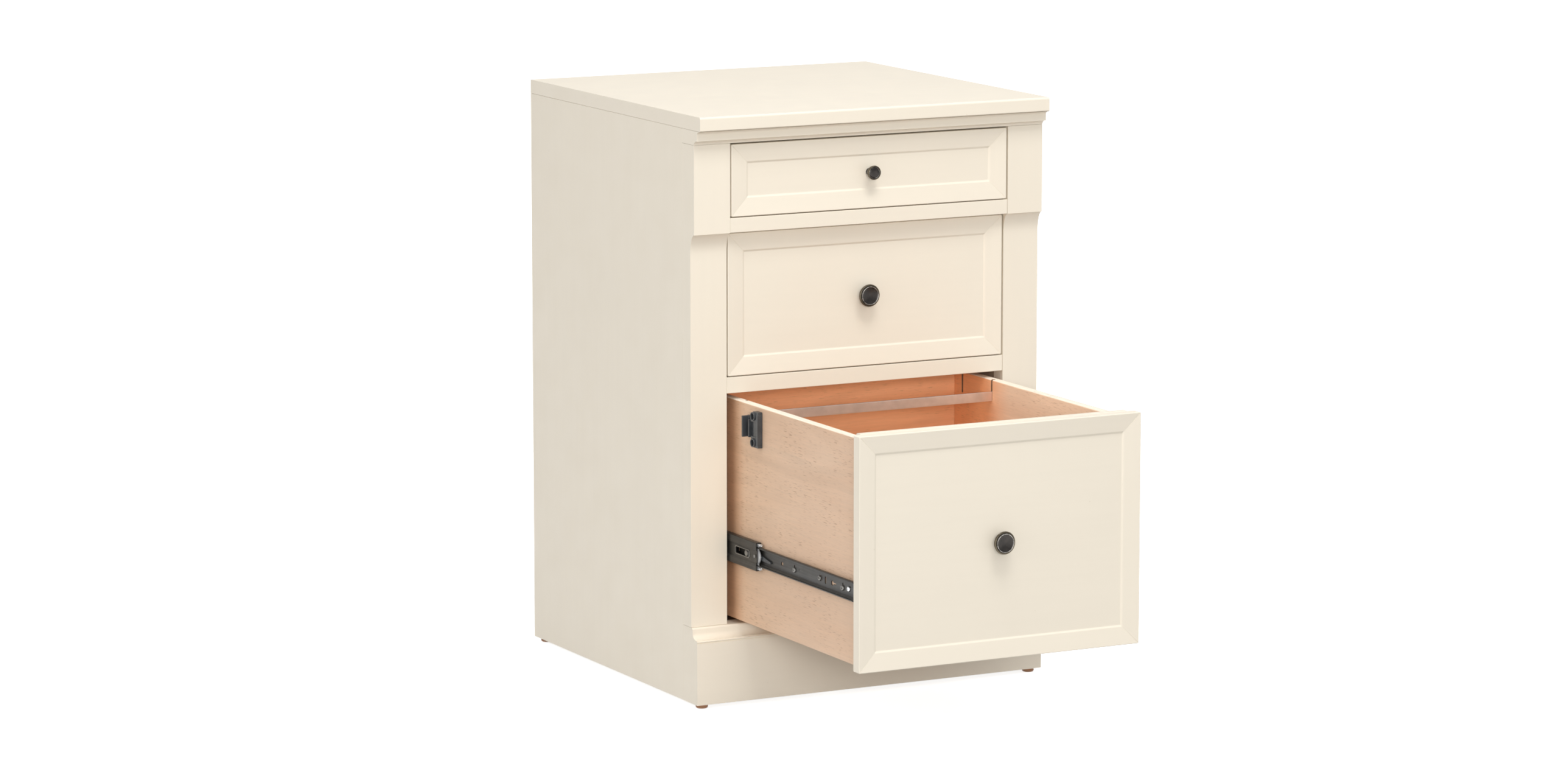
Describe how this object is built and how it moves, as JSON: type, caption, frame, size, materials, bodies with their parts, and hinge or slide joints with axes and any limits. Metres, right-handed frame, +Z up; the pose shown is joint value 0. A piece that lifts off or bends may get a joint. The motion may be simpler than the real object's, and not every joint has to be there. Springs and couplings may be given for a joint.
{
  "type": "pedestal file cabinet",
  "caption": "Painted wooden pedestal cabinet with a shallow drawer, a middle drawer and a hanging-file drawer on full-extension ball-bearing slides, standing on small levelling glides.",
  "frame": {"origin": "middle of the footprint at the floor, counted with the file drawer drawn out as at rest", "axes": "+Z up, the drawer fronts face -Y and open along -Y, +X to the right seen from the front"},
  "size_m": [0.508, 0.8424, 0.7651],
  "materials": {
    "cream_paint": "satin cream paint over wood",
    "maple": "clear satin lacquer over pale maple",
    "drawer_bottom_board": "clear lacquered plywood",
    "interior_board": "unfinished board",
    "slide_steel": "black electro-coated steel",
    "aged_bronze": "oil-rubbed bronze, worn on the rims",
    "aluminium_bar": "mill finish",
    "black_plastic": "moulded, fine satin",
    "brown_plastic": "smooth nylon"
  },
  "bodies": {
    "case": {"top_panel": "cream_paint", "crown_rail": "cream_paint", "base_board": "cream_paint", "left_side_panel": "cream_paint", "right_side_panel": "cream_paint", "left_stile": "cream_paint", "right_stile": "cream_paint", "left_slide_spacer": "interior_board", "right_slide_spacer": "interior_board", "upper_rail": "cream_paint", "lower_rail": "cream_paint", "bottom_panel": "interior_board", "back_panel": "interior_board", "top_slide_left_cabinet_member": "slide_steel", "top_slide_right_cabinet_member": "slide_steel", "middle_slide_left_cabinet_member": "slide_steel", "middle_slide_right_cabinet_member": "slide_steel", "file_slide_left_cabinet_member": "slide_steel", "file_slide_right_cabinet_member": "slide_steel"},
    "top_drawer": {"top_drawer_front": "cream_paint", "top_drawer_box_front": "cream_paint", "top_drawer_left_side": "maple", "top_drawer_right_side": "maple", "top_drawer_back": "maple", "top_drawer_bottom": "drawer_bottom_board", "top_drawer_knob": "aged_bronze", "top_slide_left_drawer_member": "slide_steel", "top_slide_right_drawer_member": "slide_steel"},
    "middle_drawer": {"middle_drawer_front": "cream_paint", "middle_drawer_box_front": "cream_paint", "middle_drawer_left_side": "maple", "middle_drawer_right_side": "maple", "middle_drawer_back": "maple", "middle_drawer_bottom": "drawer_bottom_board", "middle_drawer_knob": "aged_bronze", "middle_drawer_interlock_striker": "black_plastic", "middle_slide_left_drawer_member": "slide_steel", "middle_slide_right_drawer_member": "slide_steel"},
    "file_drawer": {"file_drawer_front": "cream_paint", "file_drawer_box_front": "cream_paint", "file_drawer_left_side": "maple", "file_drawer_right_side": "maple", "file_drawer_back": "maple", "file_drawer_bottom": "drawer_bottom_board", "file_drawer_knob": "aged_bronze", "file_drawer_interlock_striker": "black_plastic", "file_slide_left_drawer_member": "slide_steel", "file_slide_right_drawer_member": "slide_steel"},
    "top_intermediates": {"top_slide_left_intermediate_member": "slide_steel", "top_slide_right_intermediate_member": "slide_steel"},
    "middle_intermediates": {"middle_slide_left_intermediate_member": "slide_steel", "middle_slide_right_intermediate_member": "slide_steel"},
    "file_intermediates": {"file_slide_left_intermediate_member": "slide_steel", "file_slide_right_intermediate_member": "slide_steel"},
    "file_bar": {"hanging_file_bar": "aluminium_bar"},
    "front_left_leveler": {"front_left_leveler": "brown_plastic"},
    "rear_left_leveler": {"rear_left_leveler": "brown_plastic"},
    "front_right_leveler": {"front_right_leveler": "brown_plastic"},
    "rear_right_leveler": {"rear_right_leveler": "brown_plastic"}
  },
  "joints": [
    {"name": "top_drawer_slide", "type": "slide", "parent": "case", "child": "top_drawer", "axis": [0, -1, 0], "range_m": [0, 0.406]},
    {"name": "top_intermediate_slide", "type": "slide", "parent": "case", "child": "top_intermediates", "axis": [0, -1, 0], "range_m": [0, 0.16241]},
    {"name": "middle_drawer_slide", "type": "slide", "parent": "case", "child": "middle_drawer", "axis": [0, -1, 0], "range_m": [0, 0.406]},
    {"name": "middle_intermediate_slide", "type": "slide", "parent": "case", "child": "middle_intermediates", "axis": [0, -1, 0], "range_m": [0, 0.16241]},
    {"name": "file_drawer_slide", "type": "slide", "parent": "case", "child": "file_drawer", "axis": [0, -1, 0], "range_m": [-0.355, 0.051]},
    {"name": "file_intermediate_slide", "type": "slide", "parent": "case", "child": "file_intermediates", "axis": [0, -1, 0], "range_m": [-0.14201, 0.02041]},
    {"name": "file_bar_lift", "type": "slide", "parent": "file_drawer", "child": "file_bar", "axis": [0, 0, 1], "range_m": [0, 0.036]},
    {"name": "front_left_leveler_screw", "type": "slide", "parent": "case", "child": "front_left_leveler", "axis": [0, 0, -1], "range_m": [0, 0.01]},
    {"name": "rear_left_leveler_screw", "type": "slide", "parent": "case", "child": "rear_left_leveler", "axis": [0, 0, -1], "range_m": [0, 0.01]},
    {"name": "front_right_leveler_screw", "type": "slide", "parent": "case", "child": "front_right_leveler", "axis": [0, 0, -1], "range_m": [0, 0.01]},
    {"name": "rear_right_leveler_screw", "type": "slide", "parent": "case", "child": "rear_right_leveler", "axis": [0, 0, -1], "range_m": [0, 0.01]}
  ],
  "couplings": [
    {"joint": "top_intermediate_slide", "follows": "top_drawer_slide", "ratio": 0.4},
    {"joint": "middle_intermediate_slide", "follows": "middle_drawer_slide", "ratio": 0.4},
    {"joint": "file_intermediate_slide", "follows": "file_drawer_slide", "ratio": 0.4}
  ]
}
